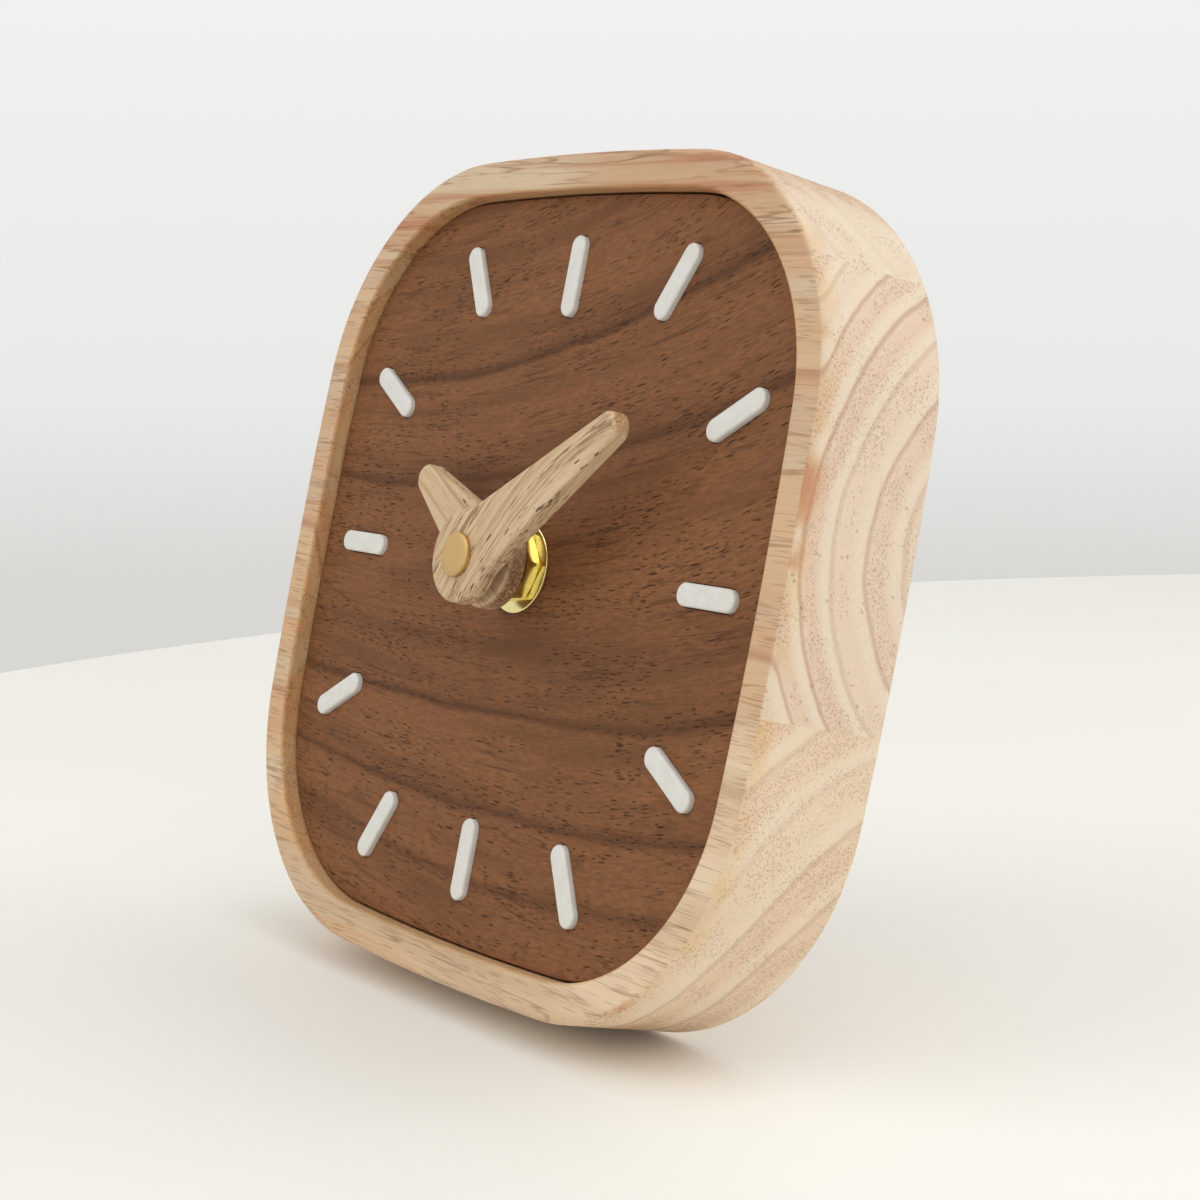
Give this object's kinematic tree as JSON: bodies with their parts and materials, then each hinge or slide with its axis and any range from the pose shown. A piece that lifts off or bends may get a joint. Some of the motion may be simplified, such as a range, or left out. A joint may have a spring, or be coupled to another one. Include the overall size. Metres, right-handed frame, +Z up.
{
  "type": "desk clock",
  "caption": "Wooden desk clock: rounded-square block leaning back on a short rear dowel, walnut dial with inlaid capsule markers, tapered wooden hands and a quartz movement behind.",
  "frame": {"origin": "middle of the small flat planed on the case's rear bottom edge, on the table", "axes": "+Z up, -Y towards the viewer in front of the dial, +X to the right of the dial seen from the front; the dial leans back by 13.4 degrees"},
  "size_m": [0.125, 0.0502, 0.126],
  "materials": {
    "case_wood": "sanded and oiled",
    "dial_walnut": "sanded and oiled",
    "marker_white": "satin",
    "hand_wood": "sanded, open pored",
    "brass": "polished",
    "gasket_rubber": "matte",
    "black_plastic": "fine moulded texture",
    "wheel_plastic": "moulded",
    "battery_jacket": "gloss",
    "spring_steel": "nickel plated",
    "circuit_resin": "laminate",
    "chip_resin": "gloss",
    "motor_iron": "bright",
    "bobbin_plastic": "moulded",
    "copper_wire": "enamelled copper"
  },
  "bodies": {
    "case": {"top_stave": "case_wood", "middle_stave": "case_wood", "bottom_stave": "case_wood", "rear_peg": "case_wood", "dial_plate": "dial_walnut", "marker_01": "marker_white", "marker_02": "marker_white", "marker_03": "marker_white", "marker_04": "marker_white", "marker_05": "marker_white", "marker_06": "marker_white", "marker_07": "marker_white", "marker_08": "marker_white", "marker_09": "marker_white", "marker_10": "marker_white", "marker_11": "marker_white", "marker_12": "marker_white", "hex_nut": "brass", "flat_washer": "brass", "sealing_gasket": "gasket_rubber", "threaded_collar": "brass", "movement_shell": "black_plastic", "movement_cover": "black_plastic", "battery": "battery_jacket", "positive_contact": "spring_steel", "negative_contact": "spring_steel", "circuit_board": "circuit_resin", "quartz_crystal": "spring_steel", "chip_blob": "chip_resin", "stator_plate": "motor_iron", "coil_core": "motor_iron", "coil_bobbin": "bobbin_plastic", "coil_winding": "copper_wire"},
    "minute_work": {"minute_shaft": "brass", "clutch_ring": "brass", "minute_hand": "hand_wood", "minute_hand_bush": "brass", "hand_cap": "brass"},
    "hour_work": {"hour_wheel": "wheel_plastic", "hour_hand": "hand_wood", "hour_hand_bush": "brass"},
    "motion_work": {"motion_wheel": "wheel_plastic"},
    "knob": {"setting_knob": "black_plastic"},
    "intermediate": {"intermediate_wheel": "wheel_plastic"},
    "rotor": {"rotor_pinion": "wheel_plastic", "rotor_magnet": "motor_iron"},
    "seconds": {"seconds_wheel": "wheel_plastic"},
    "third": {"third_wheel": "wheel_plastic"},
    "centre": {"centre_wheel": "wheel_plastic"}
  },
  "joints": [
    {"name": "minute_hand_turn", "type": "hinge", "parent": "case", "child": "minute_work", "pos_m": [0, -0.00575, 0.06537], "axis": [0, -0.9728, 0.2317], "continuous": true},
    {"name": "hour_hand_turn", "type": "hinge", "parent": "case", "child": "hour_work", "pos_m": [0, -0.00575, 0.06537], "axis": [0, -0.9728, 0.2317], "continuous": true},
    {"name": "motion_wheel_turn", "type": "hinge", "parent": "case", "child": "motion_work", "pos_m": [0.00945, -0.00614, 0.06375], "axis": [0, -0.9728, 0.2317], "continuous": true},
    {"name": "setting_knob_turn", "type": "hinge", "parent": "case", "child": "knob", "pos_m": [0.01425, -0.00421, 0.07183], "axis": [0, -0.9728, 0.2317], "continuous": true},
    {"name": "intermediate_wheel_turn", "type": "hinge", "parent": "case", "child": "intermediate", "pos_m": [0.00282, -0.00331, 0.07561], "axis": [0, -0.9728, 0.2317], "continuous": true},
    {"name": "rotor_turn", "type": "hinge", "parent": "case", "child": "rotor", "pos_m": [0.01145, -0.00258, 0.07867], "axis": [0, -0.9728, 0.2317], "continuous": true},
    {"name": "seconds_wheel_turn", "type": "hinge", "parent": "case", "child": "seconds", "pos_m": [0, -0.00575, 0.06537], "axis": [0, -0.9728, 0.2317], "continuous": true},
    {"name": "third_wheel_turn", "type": "hinge", "parent": "case", "child": "third", "pos_m": [-0.00935, -0.0045, 0.07062], "axis": [0, -0.9728, 0.2317], "continuous": true},
    {"name": "centre_wheel_turn", "type": "hinge", "parent": "case", "child": "centre", "pos_m": [0, -0.00575, 0.06537], "axis": [0, -0.9728, 0.2317], "continuous": true}
  ],
  "couplings": [
    {"joint": "hour_hand_turn", "follows": "minute_hand_turn", "ratio": 0.083333},
    {"joint": "motion_wheel_turn", "follows": "minute_hand_turn", "ratio": -0.33333},
    {"joint": "setting_knob_turn", "follows": "minute_hand_turn", "ratio": 1},
    {"joint": "rotor_turn", "follows": "intermediate_wheel_turn", "ratio": -6},
    {"joint": "seconds_wheel_turn", "follows": "intermediate_wheel_turn", "ratio": -0.2},
    {"joint": "third_wheel_turn", "follows": "intermediate_wheel_turn", "ratio": 0.025},
    {"joint": "centre_wheel_turn", "follows": "intermediate_wheel_turn", "ratio": -0.0033333}
  ]
}
